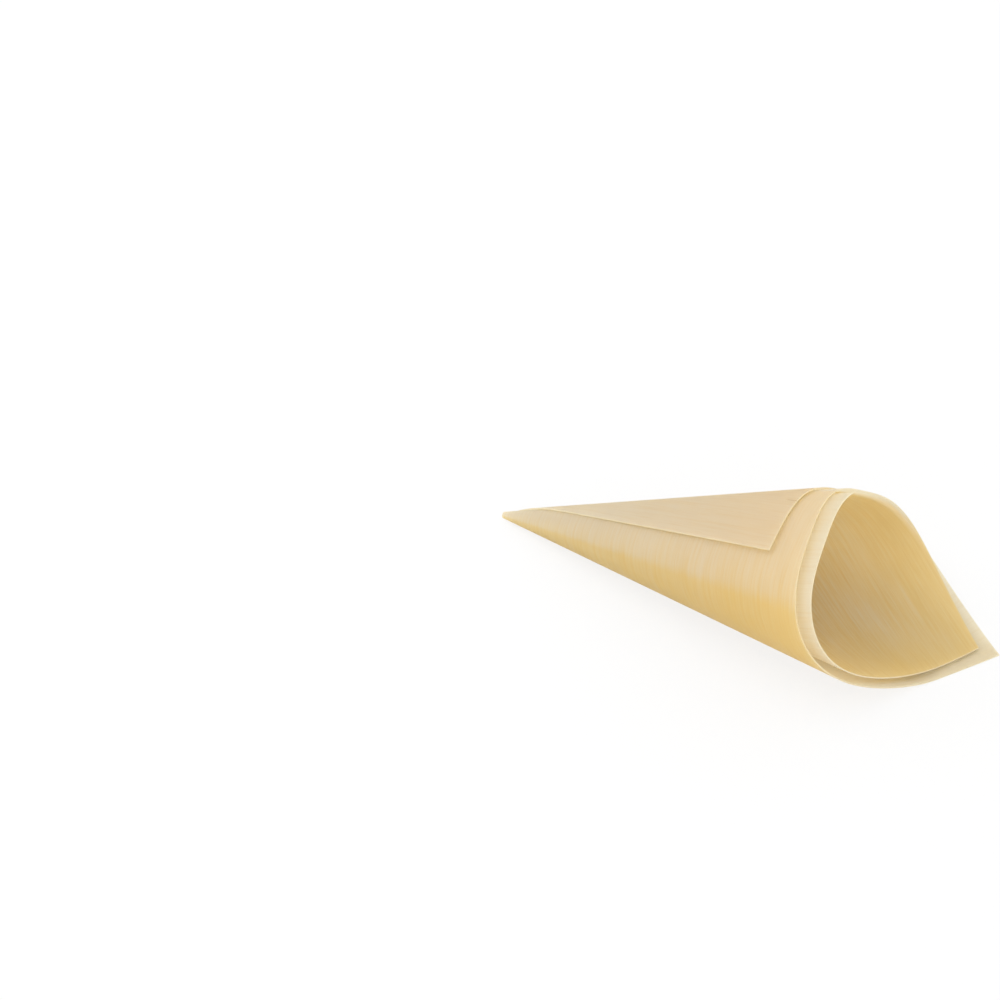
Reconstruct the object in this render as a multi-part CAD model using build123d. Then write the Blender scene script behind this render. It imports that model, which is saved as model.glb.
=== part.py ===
from build123d import *
import math
import os

import numpy as np

# A food cone rolled from one sheet of thin pine veneer, lying on its side as it rests.
# Millimetres and degrees. Z is up, X runs from the pointed end towards the mouth,
# and the origin is the middle of the footprint, on the surface the cone lies on.
#
# The sheet is drawn flat first. Its flat frame has x along the grain and y across it, and
# (0, 0) is the point all fold lines of the rolled sheet run towards, just below the middle
# of the sheet's long lower edge.

# The veneer
veneer_thickness = 0.4
lower_edge_height = 5.7      # from the point the fold lines run towards to the lower edge
lower_edge_bend = 7.5        # degrees by which the inner half of that edge turns down
outer_edge_reach = 121.0     # from that point to the short edge at the outer end
outer_edge_skew = 1.0        # degrees that edge is out of square
upper_edge_height = 131.6    # from that point to the long upper edge
upper_edge_skew = -4.6       # degrees that edge is out of parallel
inner_edge_reach = 132.9     # from that point to the short edge at the inner end
inner_edge_skew = 3.5        # degrees that edge is out of square
corner_nick = 0.5            # width of the blunted corner at each end of the lower edge

# The roll. A roll angle is 0 at the bottom, 90 on the +Y side, 180 on top.
half_angle = 14.24           # between the cone's axis and its side
axis_rise = 12.45            # of the axis above the table
outer_end_roll = 211.3       # where the sheet's outer end lies
wind_in = 1.70               # forward slip of each turn in the one outside it, per radian of sheet
turn_gap = 0.585             # degrees by which each turn is slimmer than the one outside it
turn_lean = (-0.56, -0.17)   # degrees by which each turn leans in it, to +Y and upwards
flat_softness = 0.004        # how softly the flat spot on the table runs into the round side

# How the hand-rolled section leaves a circle: degrees of cosine and sine for 2 to 5 waves
section_waves = {2: (1.01, -0.71), 3: (-0.12, -0.22), 4: (0.15, -0.41), 5: (0.14, -0.09)}

# The small split in the outer short edge, which follows the grain
split_height = 27.5          # above the lower edge
split_length = 4.0
split_width = 0.3

# How finely the rolled surface is drawn
round_step = 7.0             # degrees of roll between fold lines in the full turn
end_step = 0.13              # growth of the fold lines' slope in the two ends, as a logarithm

node_name = "rolled_veneer"


def fold_directions(rolls):
    """Unit vectors of the fold lines at the given roll angles, as rows.

    Each lies at the half angle from the axis, changed by the section's waves, the slimmer
    inner turns and their lean. Where one would dip below the table it is bent up onto it.
    """
    t = np.radians(np.asarray(rolls, float) - 90)
    turns = (outer_end_roll - np.asarray(rolls, float)) / 360
    lean = turn_gap + turn_lean[0] * np.cos(t) + turn_lean[1] * np.sin(t)
    angle = half_angle - turns * lean
    for waves, (cosine, sine) in section_waves.items():
        angle = angle + cosine * np.cos(waves * t) + sine * np.sin(waves * t)
    angle = np.radians(angle)
    rise = math.radians(axis_rise)
    axis = np.array([math.cos(rise), 0, math.sin(rise)])
    side = np.array([0.0, 1.0, 0.0])
    over = np.cross(axis, side)
    around = np.outer(np.cos(t), side) + np.outer(np.sin(t), over)
    lines = np.cos(angle)[:, None] * axis + np.sin(angle)[:, None] * around
    lines[:, 2] = (lines[:, 2] + np.sqrt(lines[:, 2] ** 2 + flat_softness ** 2)) / 2
    return lines / np.linalg.norm(lines, axis=1)[:, None]


class Winding:
    """The sheet wound up from its outer end: for each fold line, its roll angle, its angle
    on the flat sheet, and the point it runs towards, both flat and in space.

    The angle between fold lines is the same flat and rolled. The point they run towards
    creeps along them by wind_in, which leaves room for each turn inside the one before.
    """

    def __init__(self, last_roll=-620.0, step=0.25):
        self.roll = np.arange(outer_end_roll, last_roll, -step)
        lines = fold_directions(self.roll)
        turned = np.linalg.norm(np.diff(lines, axis=0), axis=1)
        start = math.atan2(lower_edge_height, outer_edge_reach)
        self.angle = start + np.concatenate([[0], np.cumsum(turned)])
        flat = np.stack([np.cos(self.angle), np.sin(self.angle)], 1)
        self.apex = self.creep(lines, turned)
        self.flat_apex = self.creep(flat, turned)

    @staticmethod
    def creep(directions, turned):
        """Running sum of the directions, each weighted by the sheet angle it covers."""
        middle = (directions[1:] + directions[:-1]) / 2 * turned[:, None] * wind_in
        return np.concatenate([np.zeros((1, directions.shape[1])), np.cumsum(middle, axis=0)])

    def pick(self, angles, values):
        """Values of one of the lists at the given sheet angles."""
        values = np.asarray(values)
        if values.ndim == 1:
            return np.interp(angles, self.angle, values)
        return np.stack([np.interp(angles, self.angle, column) for column in values.T], 1)

    def reach(self, angles, edge):
        """Distance along each fold line to a straight edge of the flat sheet."""
        normal, offset = edge
        angles = np.atleast_1d(angles)
        flat = np.stack([np.cos(angles), np.sin(angles)], 1)
        return (offset - self.pick(angles, self.flat_apex) @ normal) / (flat @ normal)


def flat_edge(normal_angle, offset):
    """A straight edge of the flat sheet: its outward normal and its distance from (0, 0)."""
    a = math.radians(normal_angle)
    return np.array([math.cos(a), math.sin(a)]), offset


lower_edge = flat_edge(90, lower_edge_height)
inner_lower_edge = flat_edge(90 + lower_edge_bend,
                             lower_edge_height * math.cos(math.radians(lower_edge_bend)))
outer_edge = flat_edge(outer_edge_skew, outer_edge_reach)
upper_edge = flat_edge(90 - upper_edge_skew, upper_edge_height)
inner_edge = flat_edge(180 - inner_edge_skew, inner_edge_reach)


def bisect(function, low, high):
    """The place between low and high where the function changes sign."""
    sign = function(low) > 0
    for _ in range(60):
        middle = (low + high) / 2
        if (function(middle) > 0) == sign:
            low = middle
        else:
            high = middle
    return (low + high) / 2


def corner_angle(winding, first, second, low, high):
    """Sheet angle of the fold line on which two edges of the sheet meet."""
    return bisect(lambda a: (winding.reach(a, first) - winding.reach(a, second))[0], low, high)


def nick_angle(winding, edge, below, low, high):
    """Sheet angle at which the fold line is corner_nick long, beside an end of the sheet."""
    def excess(a):
        return (winding.reach(a, edge) - winding.reach(a, below))[0] - corner_nick
    return bisect(excess, low, high)


def low_reach(winding, angles):
    """Distance along each fold line to the lower edge, which bends near the small end."""
    bend = corner_angle(winding, lower_edge, inner_lower_edge, math.radians(60), math.radians(150))
    return np.where(angles < bend, winding.reach(angles, lower_edge),
                    winding.reach(angles, inner_lower_edge))


def fold_line_ends(winding, angles, edge):
    """Ends of the fold lines on both faces of the veneer, as four lists of points:
    lower and upper end on the outer face, lower and upper end on the inner face."""
    rolls = winding.pick(angles, winding.roll)
    lines = fold_directions(rolls)
    ahead = fold_directions(rolls + 0.05) - fold_directions(rolls - 0.05)
    outward = np.cross(ahead, lines)
    outward /= np.linalg.norm(outward, axis=1)[:, None]
    apex = winding.pick(angles, winding.apex)
    low = apex + low_reach(winding, angles)[:, None] * lines
    high = apex + winding.reach(angles, edge)[:, None] * lines
    half = outward * veneer_thickness / 2
    return [low + half, high + half, low - half, high - half]


def curve(points, parameters):
    """A smooth curve through the points."""
    return Edge.make_spline([Vector(*p) for p in points], parameters=list(parameters))


def straight(a, b):
    """A straight edge between two points."""
    return Edge.make_line(Vector(*a), Vector(*b))


def strip(winding, angles, parameters, edge):
    """The four long faces of one stretch of the sheet: outer and inner face, and its cut
    faces along the lower and the upper edge. Each is ruled between two smooth curves."""
    ends = fold_line_ends(winding, angles, edge)
    low_out, high_out, low_in, high_in = [curve(p, parameters) for p in ends]
    ruled = Face.make_surface_from_curves
    faces = [ruled(low_out, high_out), ruled(low_in, high_in)]
    faces += [ruled(low_out, low_in), ruled(high_out, high_in)]
    return faces, [p[0] for p in ends], [p[-1] for p in ends]


def end_face(corners):
    """The small cut face across the veneer at a blunted corner."""
    low_out, high_out, low_in, high_in = corners
    return Face.make_surface_from_curves(straight(low_out, high_out), straight(low_in, high_in))


def rolled_sheet(winding):
    """The whole sheet as one solid, from its outer end to its inner end."""
    outer_tip = corner_angle(winding, outer_edge, upper_edge, math.radians(25), math.radians(70))
    inner_tip = corner_angle(winding, upper_edge, inner_edge, math.radians(110), math.radians(155))
    start = nick_angle(winding, outer_edge, lower_edge, winding.angle[0], math.radians(20))
    end = math.radians(180 + lower_edge_bend)
    stop = nick_angle(winding, inner_edge, inner_lower_edge, end - 0.005, end - 0.3)

    def by_slope(low, high):
        count = max(6, round(abs(high - low) / end_step))
        return np.linspace(low, high, count + 1)

    outer_slopes = by_slope(math.log(math.tan(start)), math.log(math.tan(outer_tip)))
    inner_slopes = by_slope(math.log(math.tan(end - inner_tip)), math.log(math.tan(end - stop)))
    turn_count = round(360 / round_step)
    middle = np.linspace(outer_tip, inner_tip, turn_count + 1)
    stretches = [
        (np.arctan(np.exp(outer_slopes)), outer_slopes, outer_edge),
        (middle, middle, upper_edge),
        (end - np.arctan(np.exp(inner_slopes)), -inner_slopes, inner_edge),
    ]
    faces = []
    first = last = None
    for angles, parameters, edge in stretches:
        made, head, tail = strip(winding, angles, parameters, edge)
        faces += made
        first = first or head
        last = tail
    faces += [end_face(first), end_face(last)]
    return Solid(Shell(faces))


def split_cutter(winding):
    """A thin wedge along the grain, which opens the outer short edge by a small split.
    It passes through the outer layer only."""
    height = lower_edge_height + split_height
    normal, offset = outer_edge
    mouth = np.array([(offset - height * normal[1]) / normal[0], height])
    root = mouth - np.array([split_length, 0])
    overhang = mouth + np.array([0.2, 0])

    def in_space(point):
        def aside(a):
            w = point - winding.pick(np.atleast_1d(a), winding.flat_apex)[0]
            return math.cos(a) * w[1] - math.sin(a) * w[0]
        a = bisect(aside, winding.angle[0], math.radians(60))
        w = point - winding.pick(np.atleast_1d(a), winding.flat_apex)[0]
        roll = winding.pick(np.atleast_1d(a), winding.roll)
        line = fold_directions(roll)[0]
        ahead = (fold_directions(roll + 0.05) - fold_directions(roll - 0.05))[0]
        outward = np.cross(ahead, line)
        apex = winding.pick(np.atleast_1d(a), winding.apex)[0]
        return apex + np.hypot(*w) * line, outward / np.linalg.norm(outward)

    tip, outward = in_space(root)
    wide, _ = in_space(overhang)
    along = wide - tip
    across = np.cross(outward, along)
    across *= split_width / 2 / np.linalg.norm(across)
    base = outward * -(veneer_thickness / 2 + 0.08)
    outline = Polyline([Vector(*(p + base)) for p in (tip, wide + across, wide - across)], close=True)
    return extrude(make_face(outline), amount=veneer_thickness + 0.6, dir=Vector(*outward))


def seat(solid):
    """Moves the cone so that the middle of its footprint is the origin."""
    box = solid.bounding_box()
    return solid.moved(Location((-box.center().X, -box.center().Y, -box.min.Z)))


def main():
    winding = Winding()
    sheet = rolled_sheet(winding)
    split = split_cutter(winding)
    sheet = sheet - split
    sheet = sheet.solid() if not isinstance(sheet, Solid) else sheet
    sheet = seat(sheet)
    sheet.label = node_name
    os.makedirs("parts", exist_ok=True)
    export_step(sheet, f"parts/{node_name}.step")
    box = sheet.bounding_box()
    print("size", box.size, "volume", sheet.volume, "valid", sheet.is_valid)


main()
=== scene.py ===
"""A rolled wood veneer food cone, lying on a white floor as in the photograph."""
import math

import bpy
import numpy as np
from mathutils import Matrix, Vector


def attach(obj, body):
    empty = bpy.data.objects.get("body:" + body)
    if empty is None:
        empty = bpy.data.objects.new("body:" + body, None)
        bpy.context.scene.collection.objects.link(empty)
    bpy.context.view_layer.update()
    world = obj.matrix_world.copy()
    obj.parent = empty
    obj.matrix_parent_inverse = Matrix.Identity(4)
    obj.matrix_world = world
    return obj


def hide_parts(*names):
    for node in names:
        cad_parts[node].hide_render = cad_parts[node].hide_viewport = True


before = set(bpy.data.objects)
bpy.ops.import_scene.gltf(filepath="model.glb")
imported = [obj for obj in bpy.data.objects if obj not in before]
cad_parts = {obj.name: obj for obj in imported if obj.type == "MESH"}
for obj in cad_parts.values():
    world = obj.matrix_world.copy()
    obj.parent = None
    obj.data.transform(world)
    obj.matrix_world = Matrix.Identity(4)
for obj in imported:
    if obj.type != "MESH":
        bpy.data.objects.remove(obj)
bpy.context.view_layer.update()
NODE = "rolled_veneer"

# The veneer, as its flat sheet is drawn in the part's source: metres, angles in degrees.
VENEER = 0.0004
LOWER_EDGE_HEIGHT, LOWER_EDGE_BEND = 0.0057, 7.5
OUTER_EDGE_REACH, OUTER_EDGE_SKEW = 0.1210, 1.0
UPPER_EDGE_HEIGHT, UPPER_EDGE_SKEW = 0.1316, -4.6
INNER_EDGE_REACH, INNER_EDGE_SKEW = 0.1329, 3.5
CORNER_NICK = 0.0005

# The look's mesh: fold lines at each low corner and between them, and rows across the sheet.
FAN_LINES = 121
MIDDLE_LINES = 261
ROWS = 64

# The roll, as in the part's source.
HALF_ANGLE = 14.24
AXIS_RISE = 12.45
OUTER_END_ROLL = 211.3
LAST_ROLL = -620.0
WIND_IN = 0.00170
TURN_GAP = 0.585
TURN_LEAN = (-0.56, -0.17)
FLAT_SOFTNESS = 0.004
SECTION_WAVES = {2: (1.01, -0.71), 3: (-0.12, -0.22), 4: (0.15, -0.41), 5: (0.14, -0.09)}

# The small split in the outer short edge: where it starts on the flat sheet, its length along
# the grain, the distances from its middle at which its line starts and ends to fade, and the
# distance over which its inner end fades.
SPLIT_PLACE = (0.1206, 0.0262)
SPLIT_LENGTH = 0.0040
SPLIT_LINE = (0.0001, 0.00028)
SPLIT_FADE = 0.0006

# The camera: degrees and metres.
CAMERA_AZIMUTH = 25.77
CAMERA_ELEVATION = 48.47
CAMERA_ROLL = -0.45
CAMERA_DISTANCE = 1.0266
CAMERA_LENS_MM = 104.53
CAMERA_SENSOR_MM = 36
AIM_FROM_SMALL_END = (0.0016, 0.0067, 0.0002)

# The studio: each soft lamp's place, width in metres and watts, and how much of the floor's
# white is its own when it is looked at.
KEY_LAMP = ((-0.9, -0.1, 1.2), 1.0, 5)
MOUTH_LAMP = ((1.35, -0.25, 0.34), 0.8, 0.8)
LAMP_AIM = (0, 0, 0.02)
WORLD_LIGHT = 0.99
FLOOR_HALF = 3.0
FLOOR_GREY = (0.9, 0.9, 0.9, 1)
FLOOR_OWN_WHITE = 0.8
WHITE = (1, 1, 1, 1)


def screen_colour(red, green, blue):
    """A colour written as it looks on screen, 0 to 255, as the shader's linear colour."""
    share = np.array([red, green, blue]) / 255
    linear = np.where(share <= 0.04045, share / 12.92, ((share + 0.055) / 1.055) ** 2.4)
    return (*linear.tolist(), 1.0)


# The veneer's colours: its pale tone, the golden tone that serves both for golden streaks and for
# painted shade, the darker streaks, the cut edge, the split, and the light that has come through it.
WOOD_PALE = screen_colour(244, 241, 239)
WOOD_GOLD_AND_SHADE = screen_colour(243, 209, 126)
WOOD_DEEP = screen_colour(216, 184, 122)
WOOD_CUT = screen_colour(246, 238, 214)
WOOD_SPLIT = screen_colour(150, 112, 62)
WOOD_LIT_THROUGH = screen_colour(254, 249, 230)

# How much golden painted shade the outer face gets, against the fold line's angle on the sheet in
# degrees: it stands in for the shade on the cone's low near side, which turns down, and leaves the
# flap and the upper near side pale. The share of light that each face lets through, against the
# same angle. How much golden painted shade the inner face gets where another turn lies behind it,
# against the share of the way along the fold line, and the distance over which that fades at the
# rim of the next turn, beyond which the face stays pale.
OUTER_PAINTED_SHADE = (
    (45, 0), (58, 0.7), (70, 0.8), (76, 0.9), (81.5, 0.85), (83.5, 0.35), (86, 0.22), (90, 0.1), (94, 0))
THROUGH_SHARE = ((0, 0.7), (110, 0.7), (122, 0.5), (150, 0.45), (162, 0.72), (180, 0.78))
INNER_PAINTED_SHADE = ((0, 0.1), (0.5, 0.4), (1, 1.0))
BAND_SOFTNESS = 0.0015

# The grain, in waves per metre along and across it, and the light line beside a cut edge,
# with the distances from the edge at which it starts and ends to fade.
FIBRES = (130, 3600, 0)
STREAKS = (35, 1100, 0)
DRIFT = (9, 60, 0)
RIM_LINE = (0.00008, 0.00035)
GRAIN_RELIEF = 0.00006
SATIN_ROUGHNESS = 0.48


def fold_directions(rolls):
    """Unit vectors of the fold lines at the given roll angles: the half angle from the axis,
    changed by the section's waves, the slimmer inner turns and their lean, and bent up onto
    the table where they would dip below it."""
    t = np.radians(np.asarray(rolls, float) - 90)
    turns = (OUTER_END_ROLL - np.asarray(rolls, float)) / 360
    lean = TURN_GAP + TURN_LEAN[0] * np.cos(t) + TURN_LEAN[1] * np.sin(t)
    angle = HALF_ANGLE - turns * lean
    for waves, (cosine, sine) in SECTION_WAVES.items():
        angle = angle + cosine * np.cos(waves * t) + sine * np.sin(waves * t)
    angle = np.radians(angle)
    rise = math.radians(AXIS_RISE)
    axis = np.array([math.cos(rise), 0, math.sin(rise)])
    side = np.array([0.0, 1.0, 0.0])
    over = np.cross(axis, side)
    around = np.outer(np.cos(t), side) + np.outer(np.sin(t), over)
    lines = np.cos(angle)[:, None] * axis + np.sin(angle)[:, None] * around
    lines[:, 2] = (lines[:, 2] + np.sqrt(lines[:, 2] ** 2 + FLAT_SOFTNESS ** 2)) / 2
    return lines / np.linalg.norm(lines, axis=1)[:, None]


class Winding:
    """The sheet wound up from its outer end. The angle between fold lines is the same flat and
    rolled, and the point they run towards creeps along them by WIND_IN for each radian."""

    def __init__(self, step=0.25):
        self.roll = np.arange(OUTER_END_ROLL, LAST_ROLL, -step)
        lines = fold_directions(self.roll)
        turned = np.linalg.norm(np.diff(lines, axis=0), axis=1)
        start = math.atan2(LOWER_EDGE_HEIGHT, OUTER_EDGE_REACH)
        self.angle = start + np.concatenate([[0], np.cumsum(turned)])
        flat = np.stack([np.cos(self.angle), np.sin(self.angle)], 1)
        self.apex = self.creep(lines, turned)
        self.flat_apex = self.creep(flat, turned)

    @staticmethod
    def creep(directions, turned):
        """Places of the point that the fold lines run towards, moved on along each of them."""
        middle = (directions[1:] + directions[:-1]) / 2 * turned[:, None] * WIND_IN
        return np.concatenate([np.zeros((1, directions.shape[1])), np.cumsum(middle, axis=0)])

    def pick(self, angles, values):
        """Values that go with the fold lines, read at the given sheet angles."""
        if values.ndim == 1:
            return np.interp(angles, self.angle, values)
        return np.stack([np.interp(angles, self.angle, column) for column in values.T], 1)

    def reach(self, angles, edge):
        """Distance along each fold line to a straight edge of the flat sheet."""
        normal, offset = edge
        flat = np.stack([np.cos(angles), np.sin(angles)], 1)
        return (offset - self.pick(angles, self.flat_apex) @ normal) / (flat @ normal)


def flat_edge(normal_angle, offset):
    """A straight edge of the flat sheet: its outward normal and its distance from (0, 0)."""
    a = math.radians(normal_angle)
    return np.array([math.cos(a), math.sin(a)]), offset


LOWER_EDGE = flat_edge(90, LOWER_EDGE_HEIGHT)
INNER_LOWER_EDGE = flat_edge(
    90 + LOWER_EDGE_BEND, LOWER_EDGE_HEIGHT * math.cos(math.radians(LOWER_EDGE_BEND)))
OUTER_EDGE = flat_edge(OUTER_EDGE_SKEW, OUTER_EDGE_REACH)
UPPER_EDGE = flat_edge(90 - UPPER_EDGE_SKEW, UPPER_EDGE_HEIGHT)
INNER_EDGE = flat_edge(180 - INNER_EDGE_SKEW, INNER_EDGE_REACH)


def crossing(function, low, high):
    """The angle, in radians, at which the function changes sign, between low and high degrees."""
    low, high = math.radians(low), math.radians(high)
    sign = function(low) > 0
    for _ in range(60):
        middle = (low + high) / 2
        low, high = (middle, high) if (function(middle) > 0) == sign else (low, middle)
    return (low + high) / 2


def fanned(first, last):
    """Angles from first to last, closer together near 0."""
    return np.arctan(np.exp(np.linspace(math.log(math.tan(first)), math.log(math.tan(last)), FAN_LINES)))


def fold_angles(winding):
    """Sheet angles of the mesh's fold lines, finest at the two low corners, where the lines lie
    almost along the long lower edge, and with one on each of the two upper corners."""
    def between(edge, other, extra=0.0):
        def margin(angle):
            angle = np.array([angle])
            return (winding.reach(angle, edge) - winding.reach(angle, other))[0] - extra
        return margin

    first = math.degrees(winding.angle[0])
    start = crossing(between(OUTER_EDGE, LOWER_EDGE, CORNER_NICK), first, 20)
    outer_tip = crossing(between(OUTER_EDGE, UPPER_EDGE), 25, 70)
    inner_tip = crossing(between(UPPER_EDGE, INNER_EDGE), 110, 155)
    end = 180 + LOWER_EDGE_BEND
    stop = crossing(between(INNER_EDGE, INNER_LOWER_EDGE, CORNER_NICK), end - 0.3, end - 17)
    bend = crossing(between(LOWER_EDGE, INNER_LOWER_EDGE), 60, 150)
    end = math.radians(end)
    head = fanned(start, outer_tip)
    tail = end - fanned(end - inner_tip, end - stop)
    middle = np.linspace(outer_tip, inner_tip, MIDDLE_LINES)
    return np.concatenate([head, middle[1:-1], tail]), outer_tip, bend, inner_tip


def sheet_grid(winding):
    """Middle surface of the veneer as a grid: one column for each fold line, and rows from the
    lower edge to the edge above it. Returns its points, its outward normals, the same places on
    the flat sheet, and the painted shade and the share of light let through of its faces."""
    angles, outer_tip, bend, inner_tip = fold_angles(winding)
    edges = (LOWER_EDGE, INNER_LOWER_EDGE, OUTER_EDGE, UPPER_EDGE, INNER_EDGE)
    lower, inner_lower, outer, upper, inner = [winding.reach(angles, edge) for edge in edges]
    low = np.where(angles < bend, lower, inner_lower)
    high = np.where(angles < outer_tip, outer, upper)
    high = np.where(angles > inner_tip, inner, high)
    rolls = winding.pick(angles, winding.roll)
    lines = fold_directions(rolls)
    outward = np.cross(fold_directions(rolls + 0.05) - fold_directions(rolls - 0.05), lines)
    outward /= np.linalg.norm(outward, axis=1)[:, None]
    along = low[:, None] + (high - low)[:, None] * np.linspace(0, 1, ROWS)
    apex = winding.pick(angles, winding.apex)
    points = apex[:, None, :] + along[:, :, None] * lines[:, None, :]
    flat = np.stack([np.cos(angles), np.sin(angles)], 1)
    flat = winding.pick(angles, winding.flat_apex)[:, None, :] + along[:, :, None] * flat[:, None, :]
    normals = np.repeat(outward[:, None, :], ROWS, axis=1)
    return points, normals, flat, face_shade_and_through(angles, rolls, along)


def face_shade_and_through(angles, rolls, along):
    """Three values for each place of the grid: how much golden painted shade the outer and the inner
    face get, from 0, pale, to 1, and the share of light that both let through. Where another turn
    lies against a turn its inner face gets golden painted shade, and the rim beyond that turn stays
    pale. On the outer face golden painted shade runs along the part of the sheet that is the cone's
    low near side, which turns down."""
    everywhere = np.ones_like(along)
    reach = along[:, -1]
    turns = [np.interp(-(rolls + 360 * k), -rolls, reach, 0, 0) for k in (-2, -1, 1, 2)]
    backed = np.clip((np.max(turns, axis=0)[:, None] - along) / BAND_SOFTNESS + 0.5, 0, 1)
    # golden painted shade on the outer face, by the fold line's angle
    drift_and_painted_shade = np.interp(np.degrees(angles), *zip(*OUTER_PAINTED_SHADE))
    # golden painted shade on the inner face, rising along the fold line
    deep = np.interp(along / reach[:, None], *zip(*INNER_PAINTED_SHADE))
    through = np.interp(np.degrees(angles), *zip(*THROUGH_SHARE))
    return drift_and_painted_shade[:, None] * everywhere, deep * backed, through[:, None] * everywhere


def edge_distance(places):
    """Distance of places on the flat sheet from its nearest edge. The lower edge bends the
    other way from the rest, so of its two halves the further one counts."""
    def inside(edge):
        return edge[1] - places @ edge[0]

    lower = np.maximum(-inside(LOWER_EDGE), -inside(INNER_LOWER_EDGE))
    return np.minimum.reduce([lower, inside(OUTER_EDGE), inside(UPPER_EDGE), inside(INNER_EDGE)])


def build_veneer(winding):
    """The rolled sheet as one closed mesh: the grid of its outer face, the same grid for its
    inner face with its faces turned over, and a row of small faces round all four edges. It is
    seated as the part is, over the middle of its footprint."""
    points, normals, flat, shade_and_through = sheet_grid(winding)
    columns, rows = points.shape[:2]
    outer = points + normals * VENEER / 2
    inner = points - normals * VENEER / 2
    vertices = np.concatenate([outer.reshape(-1, 3), inner.reshape(-1, 3)])
    low, high = vertices.min(0), vertices.max(0)
    seat = np.array([-(low[0] + high[0]) / 2, -(low[1] + high[1]) / 2, -low[2]])
    vertices += seat
    index = np.arange(columns * rows).reshape(columns, rows)
    a, b, c, d = index[:-1, :-1], index[1:, :-1], index[1:, 1:], index[:-1, 1:]
    face_out = np.stack([a, d, c, b], -1).reshape(-1, 4)
    face_in = face_out[:, ::-1] + columns * rows
    rim = np.concatenate([index[:, 0], index[-1, 1:], index[-2::-1, -1], index[0, -2:0:-1]])
    after = np.roll(rim, -1)
    cut = np.stack([rim, after, after + columns * rows, rim + columns * rows], -1)
    faces = np.concatenate([face_out, face_in, cut])
    mesh = bpy.data.meshes.new(NODE + "_look")
    mesh.from_pydata(vertices.tolist(), [], faces.tolist())
    sheet_xy = np.concatenate([flat.reshape(-1, 2)] * 2)
    corners = np.empty(len(mesh.loops), dtype=np.int32)
    mesh.loops.foreach_get("vertex_index", corners)
    layer = mesh.uv_layers.new(name="sheet")
    layer.data.foreach_set("uv", sheet_xy[corners].astype(np.float32).ravel())
    outer_painted_shade, inner_painted_shade, light_through = [tone.ravel() for tone in shade_and_through]
    # beside the edge distance: the golden painted shade of the outer and the inner face, and the share of
    # light let through
    values = {
        "edge_distance": edge_distance(sheet_xy),
        "painted_shade": np.concatenate([outer_painted_shade, inner_painted_shade]),
        "light_through": np.concatenate([light_through, light_through]),
    }
    for name, numbers in values.items():
        mesh.attributes.new(name, "FLOAT", "POINT").data.foreach_set("value", numbers.astype(np.float32))
    smooth = np.arange(len(faces)) < len(face_out) + len(face_in)
    mesh.polygons.foreach_set("use_smooth", smooth)
    mesh.update()
    sharp = mesh.attributes.new("sharp_edge", "BOOLEAN", "EDGE")
    pairs = np.empty(len(mesh.edges) * 2, dtype=np.int32)
    mesh.edges.foreach_get("vertices", pairs)
    pairs = pairs.reshape(-1, 2)
    on_rim = np.isin(pairs % (columns * rows), rim).all(1)
    sharp.data.foreach_set("value", on_rim)
    piece = bpy.data.objects.new("veneer_cone", mesh)
    bpy.context.scene.collection.objects.link(piece)
    return piece, seat


class Value:
    """A shader socket that can be reckoned with: each operator adds a Math node."""

    def __init__(self, net, socket):
        self.net, self.socket = net, socket

    def math(self, operation, *others, clamp=False):
        settings = {"operation": operation, "use_clamp": clamp}
        return self.net.add("ShaderNodeMath", settings, [self, *others])

    def __add__(self, other):
        return self.math("ADD", other)

    def __sub__(self, other):
        return self.math("SUBTRACT", other)

    def __mul__(self, other):
        return self.math("MULTIPLY", other)

    def __rsub__(self, other):
        return self.net.add("ShaderNodeMath", {"operation": "SUBTRACT"}, [other, self])

    __radd__ = __add__
    __rmul__ = __mul__

    def between(self, low, high):
        """0 below low, 1 above high, and an eased slope from one to the other."""
        settings = {"interpolation_type": "SMOOTHSTEP"}
        return self.net.add("ShaderNodeMapRange", settings, [self, low, high, 0.0, 1.0])

    def clamped(self):
        """Held between 0 and 1."""
        return self.math("ADD", 0.0, clamp=True)


class Net:
    """A material's nodes."""

    def __init__(self, material):
        material.use_nodes = True
        self.tree = material.node_tree
        self.tree.nodes.clear()

    def add(self, kind, settings=None, sockets=(), output=0):
        """One node from its type, its settings, and the values or links of its sockets, in their
        order or by name or number. Gives the output that is asked for."""
        node = self.tree.nodes.new(kind)
        for key, value in (settings or {}).items():
            setattr(node, key, value)
        for key, value in (sockets if isinstance(sockets, dict) else dict(enumerate(sockets))).items():
            if isinstance(value, Value):
                self.tree.links.new(value.socket, node.inputs[key])
            else:
                node.inputs[key].default_value = value
        return Value(self, node.outputs[output]) if node.outputs else None

    def blend(self, factor, first, second):
        """Colour between two colours."""
        return self.add("ShaderNodeMix", {"data_type": "RGBA"}, {0: factor, 6: first, 7: second}, output=2)

    def attribute(self, name):
        """One of the values that the mesh carries at its points."""
        return self.add("ShaderNodeAttribute", {"attribute_name": name}, output="Fac")

    def noise(self, place, waves, detail, roughness):
        """Noise with its own number of waves per metre along each axis, so that it runs long
        and narrow."""
        place = self.add("ShaderNodeVectorMath", {"operation": "MULTIPLY"}, [place, waves])
        sockets = {"Vector": place, "Scale": 1.0, "Detail": detail, "Roughness": roughness}
        return self.add("ShaderNodeTexNoise", None, sockets)

    def finish(self, surface):
        self.add("ShaderNodeOutputMaterial", None, {"Surface": surface})


def split_mask(net, sheet):
    """1 on the short split that runs from the outer short edge along the grain."""
    along = net.add("ShaderNodeSeparateXYZ", None, [sheet], output="X")
    across = net.add("ShaderNodeSeparateXYZ", None, [sheet], output="Y")
    line = 1 - (across - SPLIT_PLACE[1]).math("ABSOLUTE").between(*SPLIT_LINE)
    end = SPLIT_PLACE[0] - SPLIT_LENGTH
    return line * along.between(end - SPLIT_FADE, end + SPLIT_FADE)


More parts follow.
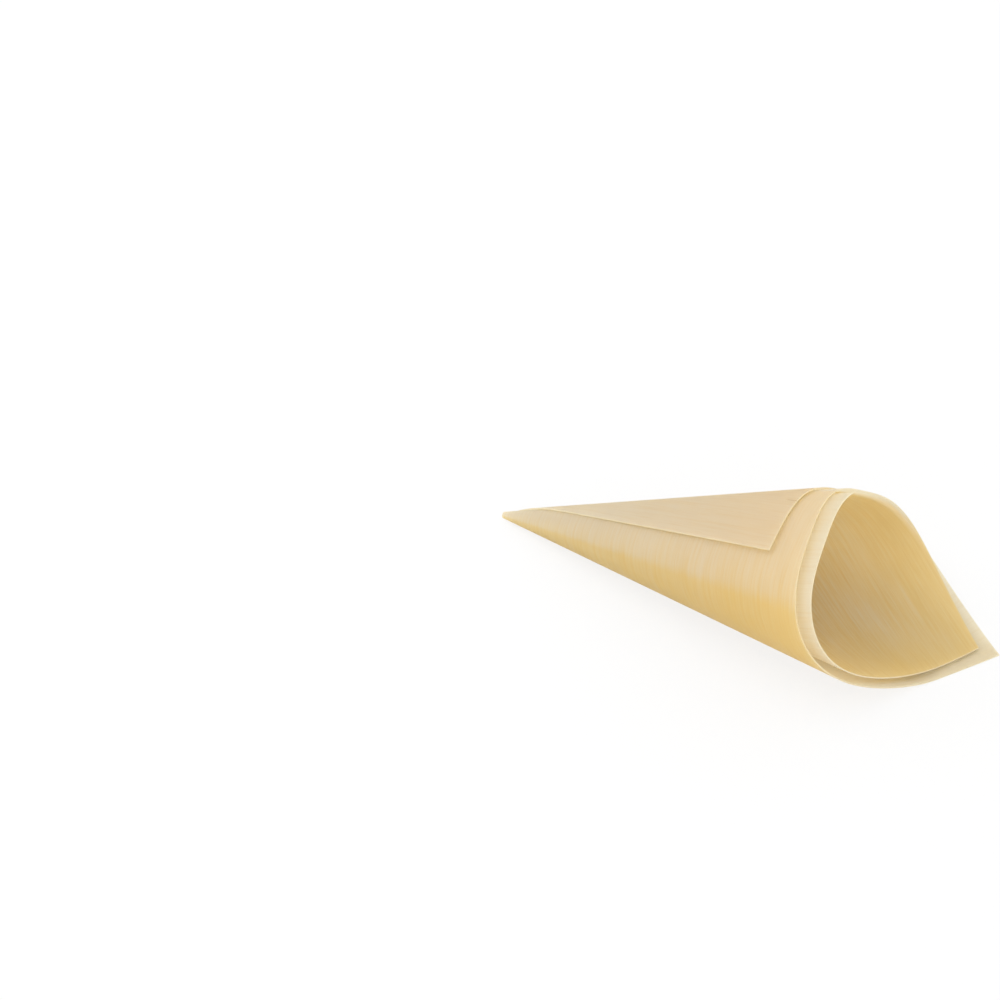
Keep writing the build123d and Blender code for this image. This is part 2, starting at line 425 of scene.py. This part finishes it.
def veneer_material():
    """Pale wood veneer: fibres and fine streaks along the grain, slow drifts between a pale and
    a golden tone, golden painted shade from the mesh on the cone's low near side and on inner faces
    backed by another turn, a light line at the cut edges, the split, a faint satin, and some light
    let through, less of it where a streak is dense."""
    material = bpy.data.materials.new("veneer")
    net = Net(material)
    sheet = net.add("ShaderNodeUVMap", {"uv_map": "sheet"})
    # golden painted shade that the mesh carries, from 0, pale, to 1
    painted_shade_level = net.attribute("painted_shade")
    fibres = net.noise(sheet, FIBRES, 3.0, 0.6)
    streaks = net.noise(sheet, STREAKS, 4.0, 0.6)
    drift_and_painted_shade = net.noise(sheet, DRIFT, 2.0, 0.5)
    grain = (streaks - 0.5) * 1.6 + (fibres - 0.5)
    # the grain shows most where the painted shade is between pale and golden: a painted streaky satin
    # highlight along that edge
    grain_and_painted_sheen = painted_shade_level * (1 - painted_shade_level) * 2.2 + 0.25
    # golden share: the painted shade with the grain and slow random drifts on it
    tone = (painted_shade_level + grain * grain_and_painted_sheen + (drift_and_painted_shade - 0.5) * 0.35).clamped()
    wood = net.blend(tone, WOOD_PALE, WOOD_GOLD_AND_SHADE)
    wood = net.blend((grain * 0.65 + 0.1).clamped(), wood, WOOD_DEEP)
    rim = 1 - net.attribute("edge_distance").between(*RIM_LINE)
    wood = net.blend(rim * 0.55, wood, WOOD_CUT)
    wood = net.blend(split_mask(net, sheet) * 0.8, wood, WOOD_SPLIT)
    relief = {"Strength": 0.25, "Distance": GRAIN_RELIEF, "Height": streaks + fibres * 0.7}
    bump = net.add("ShaderNodeBump", None, relief)
    finish = {"Base Color": wood, "Roughness": SATIN_ROUGHNESS, "Normal": bump}
    face = net.add("ShaderNodeBsdfPrincipled", None, finish)
    through = net.add("ShaderNodeBsdfTranslucent", None, {"Color": WOOD_LIT_THROUGH})
    share = net.attribute("light_through") - grain * 0.12
    net.finish(net.add("ShaderNodeMixShader", None, [share, face, through]))
    return material


def add_floor():
    """A plain white floor, flush with the surface that the cone lies on. Seen straight or in a
    mirror it is mostly plain white of its own, so that only a faint shadow is left. The veneer,
    which scatters light, gets the light of a plain matt floor."""
    mesh = bpy.data.meshes.new("floor")
    corners = [(x * FLOOR_HALF, y * FLOOR_HALF, 0) for x, y in ((-1, -1), (1, -1), (1, 1), (-1, 1))]
    mesh.from_pydata(corners, [], [(0, 1, 2, 3)])
    floor = bpy.data.objects.new("floor", mesh)
    bpy.context.scene.collection.objects.link(floor)
    material = bpy.data.materials.new("floor_white")
    net = Net(material)
    kinds = ("Is Camera Ray", "Is Glossy Ray", "Is Transmission Ray", "Is Diffuse Ray")
    camera, glossy, passing, scattered = [net.add("ShaderNodeLightPath", output=kind) for kind in kinds]
    seen = camera.math("MAXIMUM", glossy).math("MAXIMUM", passing) * (1 - scattered)
    matt = net.add("ShaderNodeBsdfDiffuse", None, {"Color": FLOOR_GREY})
    white = net.add("ShaderNodeEmission", None, {"Color": WHITE, "Strength": 1.0})
    net.finish(net.add("ShaderNodeMixShader", None, [seen * FLOOR_OWN_WHITE, matt, white]))
    mesh.materials.append(material)


def add_lamp(name, place, size, watts):
    """A square soft lamp at a place, aimed at the cone."""
    light = bpy.data.lights.new(name, "AREA")
    light.shape = "SQUARE"
    light.size = size
    light.energy = watts
    lamp = bpy.data.objects.new(name, light)
    lamp.location = place
    aim = Vector(LAMP_AIM) - Vector(place)
    lamp.rotation_euler = aim.to_track_quat("-Z", "Y").to_euler()
    bpy.context.scene.collection.objects.link(lamp)


def add_world(strength):
    """Even white light from all round."""
    world = bpy.data.worlds.new("studio")
    world.use_nodes = True
    background = world.node_tree.nodes["Background"]
    background.inputs["Color"].default_value = WHITE
    background.inputs["Strength"].default_value = strength
    bpy.context.scene.world = world


def add_camera(seat):
    """The photograph's camera, aimed at a place close to the cone's small end."""
    azimuth, elevation = math.radians(CAMERA_AZIMUTH), math.radians(CAMERA_ELEVATION)
    level = Vector((math.sin(azimuth), -math.cos(azimuth), 0))
    back = level * math.cos(elevation) + Vector((0, 0, math.sin(elevation)))
    right = Vector((math.cos(azimuth), math.sin(azimuth), 0))
    up = back.cross(right)
    target = Vector(seat) + Vector(AIM_FROM_SMALL_END)
    data = bpy.data.cameras.new("camera")
    data.lens = CAMERA_LENS_MM
    data.sensor_width = CAMERA_SENSOR_MM
    camera = bpy.data.objects.new("camera", data)
    roll = Matrix.Rotation(math.radians(CAMERA_ROLL), 4, "Z")
    turn = Matrix((right, up, back)).transposed().to_4x4() @ roll
    camera.matrix_world = Matrix.Translation(target + back * CAMERA_DISTANCE) @ turn
    bpy.context.scene.collection.objects.link(camera)
    bpy.context.scene.camera = camera


winding = Winding()
cone, seat = build_veneer(winding)
cone.data.materials.append(veneer_material())
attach(cone, "root")
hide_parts(NODE)
add_floor()
add_world(WORLD_LIGHT)
add_lamp("key", *KEY_LAMP)
add_lamp("mouth_fill", *MOUTH_LAMP)
add_camera(seat)
bpy.context.scene.view_settings.view_transform = "Standard"
